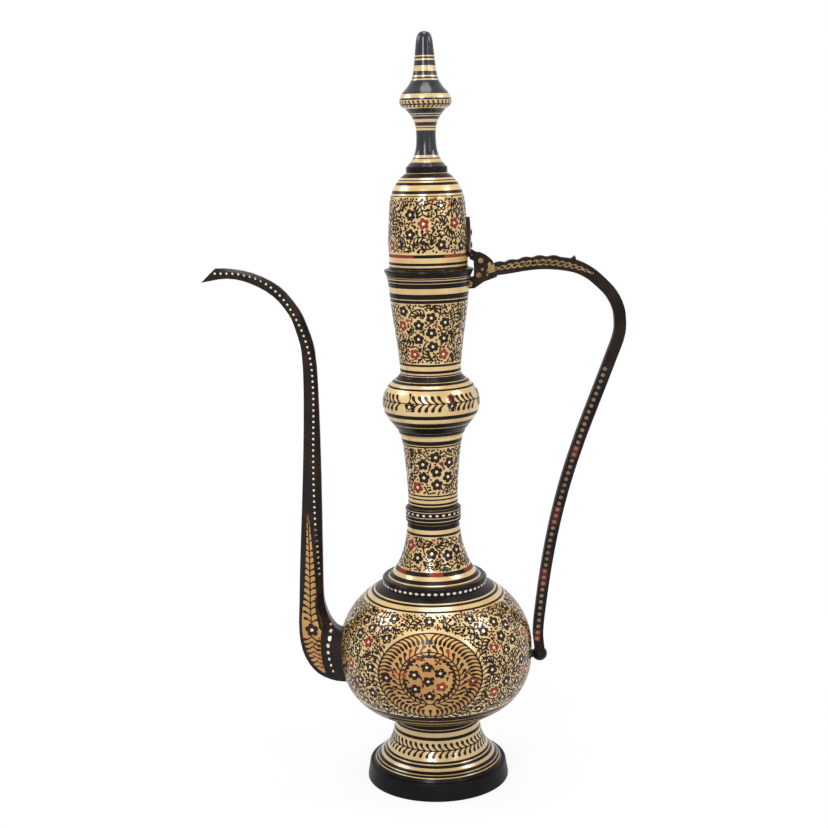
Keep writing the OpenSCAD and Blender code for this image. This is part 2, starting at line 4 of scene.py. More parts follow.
import bmesh
import bpy
from mathutils import Matrix, Vector
from mathutils.bvhtree import BVHTree


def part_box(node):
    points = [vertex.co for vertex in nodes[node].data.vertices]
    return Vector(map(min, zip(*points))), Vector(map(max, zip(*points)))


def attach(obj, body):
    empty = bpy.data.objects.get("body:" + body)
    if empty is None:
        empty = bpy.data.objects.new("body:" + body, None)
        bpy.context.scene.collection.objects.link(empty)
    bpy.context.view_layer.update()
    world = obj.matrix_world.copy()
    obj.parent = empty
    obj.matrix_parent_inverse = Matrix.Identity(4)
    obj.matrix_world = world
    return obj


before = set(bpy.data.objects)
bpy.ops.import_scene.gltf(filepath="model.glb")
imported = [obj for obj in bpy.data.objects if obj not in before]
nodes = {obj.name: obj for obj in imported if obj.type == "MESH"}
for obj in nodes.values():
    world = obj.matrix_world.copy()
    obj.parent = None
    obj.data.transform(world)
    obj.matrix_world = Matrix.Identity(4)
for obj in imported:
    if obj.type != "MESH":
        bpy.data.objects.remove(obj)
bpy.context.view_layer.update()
mm = 0.001
fullTurn = 2*pi
front = -pi/2       # azimuth of the side that faces the viewer
print("frame loaded:", len(nodes), "nodes")


def addObject(name, data):
    item = bpy.data.objects.new(name, data)
    bpy.context.scene.collection.objects.link(item)
    return item


def setInputs(node, values):
    for title, value in values.items():
        node.inputs[title].default_value = value


def polar(radius, angle):
    return radius*cos(angle), radius*sin(angle)


def between(a, b, t):
    return [x + (y - x)*t for x, y in zip(a, b)]


# camera: lens and sensor in mm, places in metres, angles in degrees
cameraSet = {
    "focal": 64.35, "sensor": 36, "farClip": 20,
    "distance": 1.18,      # from the vessel's axis, along Y
    "height": 0.5251,
    "aside": -0.0141,      # the view passes a little to the spout's side of the axis
    "pitch": 10.39,        # down
    "roll": -1.23,
}


def placeCamera():
    data = bpy.data.cameras.new("studioCamera")
    data.sensor_width = cameraSet["sensor"]
    data.lens = cameraSet["focal"]
    data.clip_end = cameraSet["farClip"]
    camera = addObject("studioCamera", data)
    turn = Matrix.Rotation(radians(90 - cameraSet["pitch"]), 4, "X")
    roll = Matrix.Rotation(radians(cameraSet["roll"]), 4, "Z")
    spot = Matrix.Translation((cameraSet["aside"], -cameraSet["distance"], cameraSet["height"]))
    camera.matrix_world = spot @ turn @ roll
    bpy.context.scene.camera = camera


placeCamera()
print("camera placed")


def noiseNode(tree, coords, scale, detail):
    noise = tree.nodes.new("ShaderNodeTexNoise")
    setInputs(noise, {"Scale": scale, "Detail": detail})
    tree.links.new(coords.outputs["Object"], noise.inputs["Vector"])
    return noise.outputs["Fac"]


def rangeNode(tree, source, fromMin, fromMax, toMin=0, toMax=1):
    node = tree.nodes.new("ShaderNodeMapRange")
    setInputs(node, {"From Min": fromMin, "From Max": fromMax, "To Min": toMin, "To Max": toMax})
    tree.links.new(source, node.inputs["Value"])
    return node.outputs["Result"]


def mathNode(tree, operation, first, second):
    node = tree.nodes.new("ShaderNodeMath")
    node.operation = operation
    tree.links.new(first, node.inputs[0])
    tree.links.new(second, node.inputs[1])
    return node.outputs["Value"]


def mixColours(tree, factor, first, second):
    node = tree.nodes.new("ShaderNodeMix")
    node.data_type = "RGBA"
    tree.links.new(factor, node.inputs["Factor"])
    for source, socket in ((first, node.inputs["A"]), (second, node.inputs["B"])):
        if isinstance(source, tuple):
            socket.default_value = source
        else:
            tree.links.new(source, socket)
    return node.outputs["Result"]


# shader group of two tones in soft clouds, with small specks of a third over them
def tonedGroup(name, tones, share, looks):
    group = bpy.data.node_groups.new(name, "ShaderNodeTree")
    sockets = [("INPUT", title, "Color") for title in tones] + [("INPUT", share, "Float")]
    sockets += [("OUTPUT", "Color", "Color")]
    sockets += [("OUTPUT", title, "Float") for title in ("Roughness", "Height")]
    for way, title, kind in sockets:
        group.interface.new_socket(title, in_out=way, socket_type="NodeSocket" + kind)
    ins, outs = group.nodes.new("NodeGroupInput"), group.nodes.new("NodeGroupOutput")
    coords = group.nodes.new("ShaderNodeTexCoord")
    broad = noiseNode(group, coords, *looks["broad"])
    fine = noiseNode(group, coords, *looks["fine"])
    clouds = rangeNode(group, broad, *looks["broadRange"])
    specks = mathNode(group, "MULTIPLY", rangeNode(group, fine, *looks["fineRange"]), ins.outputs[share])
    tone = mixColours(group, clouds, ins.outputs[tones[0]], ins.outputs[tones[1]])
    third = looks["tarnish"] if "tarnish" in looks else ins.outputs[tones[2]]
    group.links.new(mixColours(group, specks, tone, third), outs.inputs["Color"])
    return group, coords, broad, fine, outs


# metal off the lathe: tone that drifts, small tarnish flecks and turning lines; noise is scale and detail
metalSet = {
    "broad": (38, 2), "fine": (620, 4), "broadRange": (0.34, 0.68), "fineRange": (0.56, 0.74),
    "tarnish": (0.16, 0.09, 0.03, 1), "rough": (0.3, 0.75, 0.2, 0.36),
    "turning": {"Scale": 420, "Distortion": 0.6},
}


def turnedMetalGroup():
    group, coords, _, fine, outs = tonedGroup("turnedMetal", ("Bright", "Deep"), "Fleck", metalSet)
    group.links.new(rangeNode(group, fine, *metalSet["rough"]), outs.inputs["Roughness"])
    turning = group.nodes.new("ShaderNodeTexWave")
    turning.bands_direction = "Z"
    setInputs(turning, metalSet["turning"])
    group.links.new(coords.outputs["Object"], turning.inputs["Vector"])
    group.links.new(turning.outputs["Fac"], outs.inputs["Height"])
    return group


# lacquer: a second tint in soft clouds, rubbed specks, and the slight ripple of a brushed coat
lacquerSet = {
    "broad": (55, 3), "fine": (480, 5), "broadRange": (0.4, 0.72), "fineRange": (0.6, 0.78),
    "rough": (0.3, 0.75, 0.16, 0.32),
}


def lacquerGroup():
    tones = ("Coat", "Tint", "Rubbed")
    group, _, broad, fine, outs = tonedGroup("brushedLacquer", tones, "Wear", lacquerSet)
    group.links.new(rangeNode(group, broad, *lacquerSet["rough"]), outs.inputs["Roughness"])
    group.links.new(fine, outs.inputs["Height"])
    return group


# a finish with a roughness of its own moves the group's range to it
materialSet = {"groupRough": (0.16, 0.36), "bumpDepth": 0.0002}


def newMaterial(group, name, sockets, bump, rough, *values):
    material = bpy.data.materials.new(name)
    material.use_nodes = True
    tree = material.node_tree
    shader = tree.nodes["Principled BSDF"]
    setInputs(shader, sockets)
    use = tree.nodes.new("ShaderNodeGroup")
    use.node_tree = group
    for socket, value in zip(use.inputs, values):
        socket.default_value = (*value, 1) if isinstance(value, tuple) else value
    tree.links.new(use.outputs["Color"], shader.inputs["Base Color"])
    grade = use.outputs["Roughness"]
    if rough:
        grade = rangeNode(tree, grade, *materialSet["groupRough"], *rough)
    tree.links.new(grade, shader.inputs["Roughness"])
    relief = tree.nodes.new("ShaderNodeBump")
    setInputs(relief, {"Strength": bump, "Distance": materialSet["bumpDepth"]})
    tree.links.new(use.outputs["Height"], relief.inputs["Height"])
    tree.links.new(relief.outputs["Normal"], shader.inputs["Normal"])
    return material


# polished brass lies under a clear varnish
varnished = {"Metallic": 0.2, "Specular IOR Level": 0.1, "Coat Weight": 0.9, "Coat IOR": 2.0,
             "Coat Roughness": 0.2}
thinGloss = {"Specular IOR Level": 0.04, "Coat Weight": 0.3, "Coat Roughness": 0.2}
lowGloss = {"Specular IOR Level": 0.1}
# material, shader's sockets, bump, roughness; then bright and deep tone and share of flecks
metalFinishes = {
    "ground": ("engravedBrass", varnished, 0.04, (0.3, 0.44), (0.7, 0.48, 0.19), (0.54, 0.34, 0.105), 0.14),
    "brass": ("bandBrass", varnished, 0.04, (0.3, 0.44), (0.64, 0.46, 0.21), (0.51, 0.345, 0.135), 0.12),
    "pale": ("paleBrass", {"Metallic": 0.6}, 0.04, None, (0.86, 0.79, 0.64), (0.74, 0.65, 0.46), 0.15),
    "fitting": ("fittingBrass", {"Metallic": 1.0}, 0.2, None, (0.35, 0.25, 0.11), (0.22, 0.15, 0.06), 0.5),
    "oldGold": ("oldGold", {"Metallic": 0.8}, 0.1, (0.36, 0.5),
                (0.37, 0.26, 0.115), (0.24, 0.155, 0.065), 0.5),
    "dullGold": ("dullGold", {"Metallic": 0.6}, 0.1, (0.4, 0.55),
                 (0.22, 0.165, 0.11), (0.15, 0.1, 0.065), 0.5),
    "medallion": ("medallionGold", {"Metallic": 0.55}, 0.08, (0.42, 0.6),
                  (0.54, 0.315, 0.12), (0.43, 0.225, 0.072), 0.25),
}
# the same; then coat, tint, rubbed tone and wear
lacquerFinishes = {
    "black": ("blackInlay", thinGloss, 0.08, None,
              (0.016, 0.007, 0.002), (0.03, 0.011, 0.003), (0.07, 0.035, 0.015), 0.25),
    "red": ("redInlay", lowGloss, 0.08, None,
            (0.28, 0.05, 0.025), (0.17, 0.022, 0.013), (0.42, 0.16, 0.08), 0.4),
    "deepRed": ("deepRedInlay", lowGloss, 0.08, None,
                (0.13, 0.02, 0.013), (0.07, 0.011, 0.008), (0.25, 0.09, 0.05), 0.4),
    "lacquer": ("blackLacquer", lowGloss, 0.1, None,
                (0.008, 0.006, 0.006), (0.016, 0.01, 0.008), (0.06, 0.045, 0.035), 0.2),
    # glossLacquer: the finial's black lacquer; the blue cast in its coat and tint is painted reflection of
    # the bright surroundings
    "gloss": ("glossLacquer", {"Specular IOR Level": 0.42}, 0.1, (0.14, 0.26),
              (0.008, 0.009, 0.014), (0.016, 0.015, 0.02), (0.07, 0.055, 0.045), 0.2),
    "worn": ("wornLacquer", {"Specular IOR Level": 0.18}, 0.15, (0.24, 0.4),
             (0.007, 0.006, 0.006), (0.026, 0.01, 0.007), (0.14, 0.06, 0.03), 0.4),
    "bow": ("bowLacquer", {"Specular IOR Level": 0.05}, 0.15, (0.4, 0.55),
            (0.012, 0.01, 0.0095), (0.032, 0.02, 0.016), (0.14, 0.07, 0.04), 0.4),
    "satin": ("satinBlack", {"Specular IOR Level": 0.06}, 0.2, (0.3, 0.45),
              (0.007, 0.007, 0.008), (0.011, 0.01, 0.011), (0.04, 0.036, 0.032), 0.3),
}
finishes = {}
for group, table in ((turnedMetalGroup(), metalFinishes), (lacquerGroup(), lacquerFinishes)):
    for finish, row in table.items():
        finishes[finish] = newMaterial(group, *row)
nodeFinish = {
    "ground": ("foot", "body_lower", "body_upper", "lower_neck", "middle_neck", "knop", "cup", "lid_wall"),
    "lacquer": ("shoulder_ring", "neck_collar", "cup_rim", "lid_cap", "handle_ball"),
    "fitting": ("lid_flange", "finial_washer", "finial_nut", "hinge_pin", "lug_rivet", "ball_stud"),
    "worn": ("lid_strap", "strap_rivets", "spout"),
    "gloss": ("finial",), "bow": ("handle",), "satin": ("base_ring",),
}
for finish, names in nodeFinish.items():
    for name in names:
        nodes[name].data.materials.clear()
        nodes[name].data.materials.append(finishes[finish])
print("finishes:", len(finishes))

# inlay: every line, leaf and dot is a thin closed sliver let into the metal and standing just proud of it;
# marks on other inlay stand over it; heights and lengths in mm, sharp edges in degrees
proud, over, sunk = 0.06, 0.12, -0.25
inlaySet = {"ringSteps": 144, "ringGrain": 1.3, "sharp": 40}
slotOf = {
    **dict.fromkeys(("black", "lacquer", "red", "deepRed"), "black_lacquer"),
    **dict.fromkeys(("brass", "pale", "medallion", "oldGold", "dullGold"), "plain_brass"),
}
inlays = {}


def inlay(piece, finish, body="vessel"):
    return inlays.setdefault(piece, {"points": [], "faces": [], "finish": finish, "body": body})


def addLoft(part, rows, closed):
    start, size, count = len(part["points"]), len(rows[0]), len(rows)
    for row in rows:
        part["points"] += row
    for i in range(count if closed else count - 1):
        a, b = start + i*size, start + (i + 1) % count*size
        part["faces"] += [(a + k, a + (k + 1) % size, b + (k + 1) % size, b + k) for k in range(size)]
    if not closed:
        last = start + (count - 1)*size
        part["faces"] += [tuple(range(start, start + size)), tuple(range(last, last + size))]


# a sliver along a line of points on a surface; put(u, v, height) gives the place
def addStroke(part, put, line, widths, lift=proud):
    rows = []
    for i, (u, v) in enumerate(line):
        before, after = line[max(i - 1, 0)], line[min(i + 1, len(line) - 1)]
        du, dv = after[0] - before[0], after[1] - before[1]
        half = widths[i]/2/(hypot(du, dv) or 1)
        a, b = (u - dv*half, v + du*half), (u + dv*half, v - du*half)
        rows.append([put(*a, lift), put(*b, lift), put(*b, sunk), put(*a, sunk)])
    addLoft(part, rows, False)


def addSpot(part, put, u, v, wide, high=None, turn=0.0, sides=10):
    high = high or wide
    rim = []
    for k in range(sides):
        x, y = wide*cos(fullTurn*k/sides), high*sin(fullTurn*k/sides)
        rim.append((u + x*cos(turn) - y*sin(turn), v + x*sin(turn) + y*cos(turn)))
    addLoft(part, [[put(*spot, height) for spot in rim] for height in (proud, sunk)], False)


# a petal drawn as a ring, with the ground showing in it
def addRinglet(part, put, u, v, outer, inner, sides=12):
    rows = []
    for k in range(sides):
        x, y = polar(1, fullTurn*k/sides)
        far, near = (u + outer*x, v + outer*y), (u + inner*x, v + inner*y)
        rows.append([put(*far, proud), put(*near, proud), put(*near, sunk), put(*far, sunk)])
    addLoft(part, rows, True)


# shares of a flower's size, and the hole's share of a petal
flowerShape = {"reach": 0.61, "petal": 0.425, "heart": 0.26, "hole": 0.34}


def addFlower(part, put, u, v, size, turn, heart=None, petals=5, ringed=False):
    petal = flowerShape["petal"]*size
    for k in range(petals):
        x, y = polar(flowerShape["reach"]*size, turn + fullTurn*k/petals)
        if ringed:
            addRinglet(part, put, u + x, v + y, petal, flowerShape["hole"]*petal)
        else:
            addSpot(part, put, u + x, v + y, petal)
    if heart:
        addSpot(heart, put, u, v, flowerShape["heart"]*size)


# comma leaf: a thin tail that bends and swells to a round head; shares of its length and width
leafShape = ((0, 0.4), (0.2, 0.42), (0.42, 0.46), (0.6, 0.6), (0.73, 0.88), (0.83, 1), (0.93, 0.9),
             (1, 0.5), (1.03, 0.15))


def leafPoint(angle, length, bend, along):
    return polar(length*along, angle + bend*(along - 0.5))


def addLeaf(part, put, u, v, angle, length, width, bend=0.5, lift=proud):
    line = []
    for along, _ in leafShape:
        x, y = leafPoint(angle, length, bend, along)
        line.append((u + x, v + y))
    addStroke(part, put, line, [width*w for _, w in leafShape], lift)


# four leaves about a point; a leaf is its length, width and bend
def addCross(part, put, u, v, tilt, leaf):
    for q in range(4):
        addLeaf(part, put, u, v, tilt + pi*q/2, *leaf)


# the same places for marks that lie on other inlay
def raised(put):
    def lifted(u, v, height):
        return put(u, v, over if height > 0 else height)
    return lifted


# an even curve through a few points
def smoothLine(points, steps):
    full = [points[0], *points, points[-1]]
    line = []
    for a, b, c, d in zip(full, full[1:], full[2:], full[3:]):
        for k in range(steps):
            t = k/steps
            line.append(tuple(((2*q) + (r - p)*t + (2*p - 5*q + 4*r - w)*t*t + (3*q - p - 3*r + w)*t**3)/2
                              for p, q, r, w in zip(a, b, c, d)))
    return line + [points[-1]]


# points at even steps along a line, each with its heading
def evenSteps(line, step):
    spots, need = [], 0.0
    for a, b in zip(line, line[1:]):
        far = dist(a, b)
        heading = atan2(b[1] - a[1], b[0] - a[0])
        while need <= far:
            spots.append((*between(a, b, need/far), heading))
            need += step
        need -= far
    return spots


# a band round a turned piece, or over an arc of it
def addRing(part, line, top, bottom, lift=proud, arc=None):
    low, high = line["along"](bottom), line["along"](top)
    steps = max(1, round((high - low)/inlaySet["ringGrain"]))
    section = [(low + (high - low)*k/steps, lift) for k in range(steps + 1)] + [(high, sunk), (low, sunk)]
    first, last = arc or (0, fullTurn)
    count = max(3, round(inlaySet["ringSteps"]*(last - first)/fullTurn))
    rows = [[line["place"](s, first + (last - first)*k/count, h) for s, h in section]
            for k in range(count if not arc else count + 1)]
    addLoft(part, rows, not arc)


def nodeTree(name):
    mesh = nodes[name].data
    return BVHTree.FromPolygons([v.co[:] for v in mesh.vertices], [p.vertices[:] for p in mesh.polygons])


# outline of turned nodes, read by rays towards the axis; rays' reach in metres, their turns in degrees
outlineSet = {"firstRay": 0.05, "rayStep": 0.2, "turns": (50, 63, 75, 87, 98, 110, 123), "reach": 0.3,
              "leastRadius": 0.4, "step": 0.25, "slopeSpan": 3}


def readOutline(names):
    low = min(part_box(n)[0][2] for n in names)/mm
    high = max(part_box(n)[1][2] for n in names)/mm
    trees, reach, raw = [nodeTree(n) for n in names], outlineSet["reach"], []
    for k in range(int((high - low)/outlineSet["rayStep"]) + 1):
        z, best = low + outlineSet["firstRay"] + outlineSet["rayStep"]*k, 0
        for turn in outlineSet["turns"]:
            way = Vector((*polar(1, radians(-turn)), 0))
            for tree in trees:
                hit = tree.ray_cast(Vector((0, 0, z*mm)) + way*reach, -way, reach)[0]
                if hit:
                    best = max(best, hypot(hit.x, hit.y)/mm)
        if best > outlineSet["leastRadius"]:
            raw.append((best, z))
    return raw


# radius, height and slope at even steps of arc length, and so the place of a point by arc length and angle
def surfaceLine(names):
    raw = readOutline(names)
    run = [0]
    for a, b in zip(raw, raw[1:]):
        run.append(run[-1] + hypot(b[0] - a[0], b[1] - a[1]))
    step, table, i = outlineSet["step"], [], 0
    for k in range(int(run[-1]/step)):
        s = k*step
        while i < len(run) - 2 and run[i + 1] < s:
            i += 1
        table.append(between(raw[i], raw[i + 1], (s - run[i])/(run[i + 1] - run[i])))
    full, span = [], outlineSet["slopeSpan"]
    for k, (r, z) in enumerate(table):
        a, b = table[max(k - span, 0)], table[min(k + span, len(table) - 1)]
        d = hypot(b[0] - a[0], b[1] - a[1])
        full.append((r, z, (b[1] - a[1])/d, (a[0] - b[0])/d))

    def at(s):
        p = min(max(s/step, 0), len(full) - 1.001)
        k = int(p)
        return between(full[k], full[k + 1], p - k)

    def place(s, angle, height):
        r, z, nr, nz = at(s)
        x, y = polar(r + height*nr, angle)
        return (x*mm, y*mm, (z + height*nz)*mm)

    def along(z):
        return min(range(len(full)), key=lambda k: abs(full[k][1] - z))*step

    def local(angle, s0):
        def put(u, v, height):
            return place(s0 + v, angle + u/at(s0 + v)[0], height)
        return put

    return {"at": at, "place": place, "along": along, "local": local}


turnedNodes = {
    "finial": ["finial"], "lid": ["lid_wall"], "cup": ["cup"], "knop": ["knop"],
    "middleNeck": ["middle_neck"], "collar": ["neck_collar"], "lowerNeck": ["lower_neck"],
    "shoulder": ["shoulder_ring"], "globe": ["body_lower", "body_upper"], "foot": ["foot"],
}
lines = {place: surfaceLine(names) for place, names in turnedNodes.items()}


def bodyOf(place):
    return "lid" if place in ("finial", "lid") else "vessel"


print("outlines read:", len(lines))

# turned bands: top and bottom heights in mm; the ground of a piece shows between them
bandSet = {
    "finial": [(591.4, 590.4), (588.9, 587.6), (583.6, 579.4), (576.3, 575), (573.6, 572.4), (562.2, 558.8),
               (557.4, 551), (547.3, 546.8), (545.7, 545.2), (542.9, 540.7), (537.7, 536.7), (536, 534.3),
               (515.3, 513.3), (512.3, 509.6)],
    "lid": [(501.2, 498), (496.4, 495.7), (494.4, 492.5), (488.2, 485.9), (484.5, 483.7), (432.7, 430.6),
            (429.1, 427.4)],
    "cup": [(424.5, 419.7), (419, 417.2), (416.5, 412.9), (408.5, 404.3), (403.7, 401.3), (352.3, 350.7),
            (347.2, 344.8), (343.5, 342.6)],
    "knop": [(343, 338.3), (337.9, 336.2), (333.9, 332.6), (313.3, 310.2), (306.7, 303), (302.4, 296.9)],
    "middleNeck": [(297.2, 293.7), (290.2, 287), (286.2, 284.9), (245.1, 243.8), (242.1, 240.9),
                   (238.4, 236.6), (235.6, 232.9)],
    "collar": [(231.4, 230.9), (226.8, 226.4), (223.9, 223.2)],
    "lowerNeck": [(223.5, 220.6), (220, 216.4), (213.2, 211.2), (177.6, 175.1), (174.3, 173.8)],
    # on the globe, the three lower bands from 76.6 mm down to 53 mm cover the underside that faces the
    # floor: they are partly black lacquer and partly painted shade
    "globe": [(169, 163.9), (163, 161.8), (159.5, 158.3), (76.6, 72.4), (71.6, 68.4), (67.4, 53)],
    "foot": [(56.6, 51.6), (50.9, 48.9), (45.3, 42.6), (26.8, 25.2), (24.6, 22.7), (20.7, 19), (18.6, 17.1),
             (16.7, 12.4)],
}
for place, bands in bandSet.items():
    finish = "brass" if place in ("finial", "collar") else "lacquer"
    for top, bottom in bands:
        addRing(inlay(f"{place}_{finish}_bands", finish, bodyOf(place)), lines[place], top, bottom)

# the foot's lower edge is lacquered down to the base ring
edgeSet = {"top": 14.7, "out": 0.12, "in": 0.3}


def addFootEdge(line):
    low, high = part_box("foot")[0][2]/mm, edgeSet["top"]
    wide, narrow = line["at"](0)[0], line["at"](line["along"](high))[0]
    corners = ((wide + edgeSet["out"], low), (narrow + edgeSet["out"], high),
               (narrow - edgeSet["in"], high), (wide - edgeSet["in"], low))
    rows = []
    for k in range(inlaySet["ringSteps"]):
        a = fullTurn*k/inlaySet["ringSteps"]
        rows.append([(r*cos(a)*mm, r*sin(a)*mm, z*mm) for r, z in corners])
    addLoft(inlay("foot_lacquer_bands", "lacquer"), rows, True)


addFootEdge(lines["foot"])

# bands of red and black by turns: top, bottom, count, red part, and degrees from the viewer's side
splitSet = {"lid": (439.1, 436.7, 4, 0.5, -67), "lowerNeck": (183.7, 180.6, 6, 0.36, -9)}
for place, (top, bottom, count, redPart, phase) in splitSet.items():
    for k in range(count):
        first = front + radians(phase) + fullTurn*k/count
        turn = first + fullTurn*redPart/count
        last = first + fullTurn/count
        for finish, arc in (("red", (first, turn)), ("lacquer", (turn, last))):
            part = inlay(f"{place}_{finish}_turns", finish, bodyOf(place))
            addRing(part, lines[place], top, bottom, arc=arc)
print("bands turned")


# room on a surface: what is drawn so far, as discs in cells
def isFree(room, spot, radius):
    cell = tuple(int(c//room["cell"]) for c in spot)
    for i in (-1, 0, 1):
        for j in (-1, 0, 1):
            for k in (-1, 0, 1):
                for x, y, z, r in room["discs"].get((cell[0] + i, cell[1] + j, cell[2] + k), ()):
                    if (x - spot[0])**2 + (y - spot[1])**2 + (z - spot[2])**2 < (r + radius)**2:
                        return False
    return True


def take(room, spot, radius):
    cell = tuple(int(c//room["cell"]) for c in spot)
    room["discs"].setdefault(cell, []).append((*spot, radius))


# flowers, leafy sprays, small crosses, single leaves and dots over a panel between two heights
def fillPanel(piece, line, top, bottom, rule, body="vessel", outside=None):
    dice = random.Random(rule["seed"])
    room = {"cell": rule["cell"]*mm, "discs": {}}
    low, high = line["along"](bottom), line["along"](top)
    samples = rule["samples"]
    radii = [line["at"](low + (high - low)*(k + 0.5)/samples)[0] for k in range(samples)]
    area, widest = fullTurn*sum(radii)/samples*(high - low), max(radii)
    black, red, pale = (inlay(f"{piece}_{finish}", finish, body) for finish in ("black", "red", "pale"))

    def fits(angle, s, radius):
        if not low + radius < s < high - radius:
            return False
        spot = line["place"](s, angle, 0)
        return (outside is None or outside(spot, radius)) and isFree(room, spot, radius*mm)

    def keep(angle, s, radius):
        take(room, line["place"](s, angle, 0), radius*mm)

    def throw():
        while True:
            s = dice.uniform(low, high)
            if dice.random() < line["at"](s)[0]/widest:
                return dice.uniform(0, fullTurn), s

    def pick(share):
        return red if dice.random() < share else black

    size, blooms = rule["flower"], []

    def bloom(angle, s, part):
        turn, ringed = dice.uniform(0, 6), dice.random() < rule["ringed"]
        r = line["at"](s)[0]
        put = line["local"](angle, s)
        addFlower(part, put, 0, 0, size, turn, pale, ringed=ringed)
        blooms.append(Vector(line["place"](s, angle, 0)))
        keep(angle, s, rule["heartRoom"]*size)
        for k in range(5):
            x, y = polar(flowerShape["reach"]*size, turn + fullTurn*k/5)
            keep(angle + x/r, s + y, flowerShape["petal"]*size + rule["petalGap"])

    for key, part in (("front", black), ("frontRed", red)):
        for offset, z in rule[key]:
            bloom(front + radians(offset), line["along"](z), part)
    for attempt in range(int(area*rule["flowerRate"])):
        angle, s = throw()
        spot = Vector(line["place"](s, angle, 0))
        near = min(((spot - other).length for other in blooms), default=1)
        if near > (2*size + rule["apart"])*mm and fits(angle, s, size):
            bloom(angle, s, pick(rule["redShare"]))

    # a leaf is kept only where its middle and its head find room
    def leafRoom(angle, s, heading, length, bend):
        r = line["at"](s)[0]
        spots = []
        for along, radius in rule["leafDiscs"]:
            x, y = leafPoint(heading, length, bend, along)
            spots.append((angle + x/r, s + y, radius))
        return spots if all(fits(*spot) for spot in spots) else None

    def spray(angle, s, heading, turn, scale, part):
        stem, leaves, own = [(angle, s)], [], []
        length, step, bend = rule["leaf"]*scale, rule["stride"]*scale, rule["leafBend"]
        for k in range(rule["steps"]):
            r = line["at"](s)[0]
            angle, s = angle + step*cos(heading)/r, s + step*sin(heading)
            heading += turn
            if not fits(angle, s, rule["stemDisc"]):
                break
            stem.append((angle, s))
            own.append((angle, s, rule["stemKeep"]*rule["stemDisc"]))
            for side in (1, -1) if k % rule["leafEvery"] == 1 else ():
                lean = heading + side*rule["lean"]
                spots = leafRoom(angle, s, lean, length, bend*side)
                if spots:
                    leaves.append((angle, s, lean, side))
                    own += spots
        if len(leaves) < rule["fewestLeaves"]:
            return
        a0, s0 = stem[0]
        path = [((a - a0)*line["at"](q)[0], q - s0) for a, q in stem]
        thick = [rule["stem"]*scale]*len(path)
        thick[0] = thick[-1] = 0.5*rule["stem"]
        addStroke(part, line["local"](a0, s0), path, thick)
        for a, q, lean, side in leaves:
            addLeaf(part, line["local"](a, q), 0, 0, lean, length, rule["leafWidth"]*scale**0.5, bend*side)
        for spot in own:
            keep(*spot)

    # sprays follow the panel's edges first, and then slow waves over it
    inset, tilt, (wave, other) = rule["edgeInset"], rule["edgeTilt"], rule["waves"]
    for scale in rule["sprayScales"]:
        for attempt in range(int(area*rule["sprayRate"])):
            angle, s = throw()
            if attempt < rule["edges"]:
                s = low + inset if attempt % 2 else high - inset
                heading = tilt if attempt % 4 < 2 else pi - tilt
                turn = 0
            else:
                heading = wave[0]*sin(wave[1]*angle + s/wave[2]) + other[0]*sin(s/other[2] - other[1]*angle)
                heading += pi*dice.randrange(2)
                turn = dice.choice((-1, 1))*dice.uniform(*rule["sprayTurns"])
            if fits(angle, s, rule["sprayRoom"]):
                spray(angle, s, heading, turn, scale, pick(rule["redSprays"]))
    for attempt in range(int(area*rule["crossRate"])):
        angle, s = throw()
        if fits(angle, s, rule["crossRoom"]):
            part, lean = pick(rule["redSprays"]), dice.uniform(0, 3)
            addCross(part, line["local"](angle, s), 0, 0, lean, rule["crossLeaf"])
            keep(angle, s, rule["crossRoom"])
    for attempt in range(int(area*rule["fillRate"])):
        angle, s = throw()
        heading, bend = dice.uniform(0, fullTurn), dice.choice((-rule["fillBend"], rule["fillBend"]))
        length = rule["leaf"]*dice.uniform(*rule["fillLengths"])
        spots = fits(angle, s, rule["tailRoom"]) and leafRoom(angle, s, heading, length, bend)
        part, put = pick(rule["redShare"]), line["local"](angle, s)
        if spots:
            addLeaf(part, put, 0, 0, heading, length, rule["leafWidth"], bend)
            for spot in (*spots, (angle, s, rule["tailKeep"])):
                keep(*spot)
        elif fits(angle, s, rule["dotRoom"]):
            addSpot(black, put, 0, 0, rule["dot"], sides=8)
            keep(angle, s, rule["dotKeep"])
    print(piece, "flowers", len(blooms), "faces", len(black["faces"]) + len(red["faces"]))


